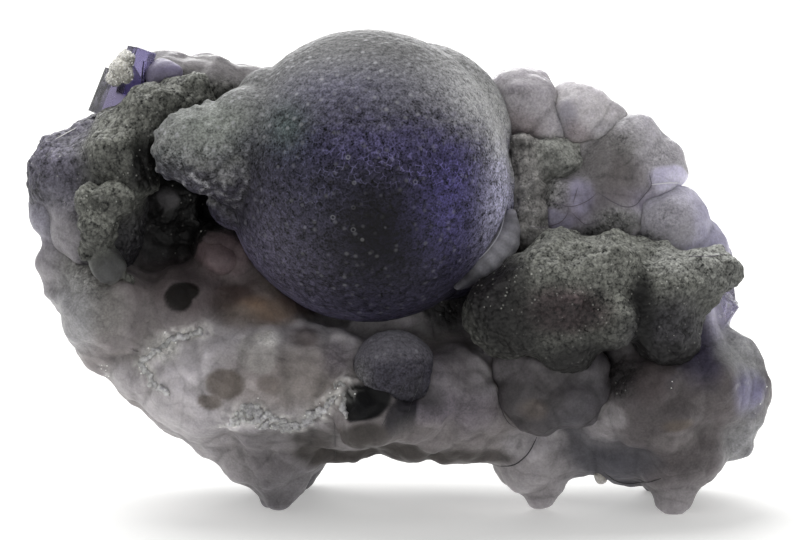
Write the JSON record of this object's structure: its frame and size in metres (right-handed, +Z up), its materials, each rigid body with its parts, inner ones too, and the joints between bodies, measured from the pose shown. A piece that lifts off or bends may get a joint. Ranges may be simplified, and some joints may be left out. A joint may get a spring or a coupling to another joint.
{
  "type": "fluorite mineral specimen",
  "caption": "Botryoidal fluorite specimen: a large violet crystal ball with smaller fluorite bodies on a lumpy grey matrix that stands on its own feet.",
  "frame": {"origin": "on the surface the specimen stands on, under the middle of its outline", "axes": "+X to the right of the display face and along the longest side, +Y to the back, +Z up"},
  "size_m": [0.0746, 0.039, 0.0481],
  "materials": {
    "violet_fluorite": "sugary drusy violet fluorite, nearly black inside, frosted grey on top",
    "glassy_fluorite": "clear glassy violet fluorite with flat faces",
    "grey_matrix": "grey to lilac translucent botryoidal fluorite with olive granular crusts"
  },
  "bodies": {
    "root": {"matrix": "grey_matrix", "main_ball": "violet_fluorite", "small_ball": "violet_fluorite", "corner_crystal": "glassy_fluorite", "edge_crystal": "glassy_fluorite"}
  },
  "joints": []
}
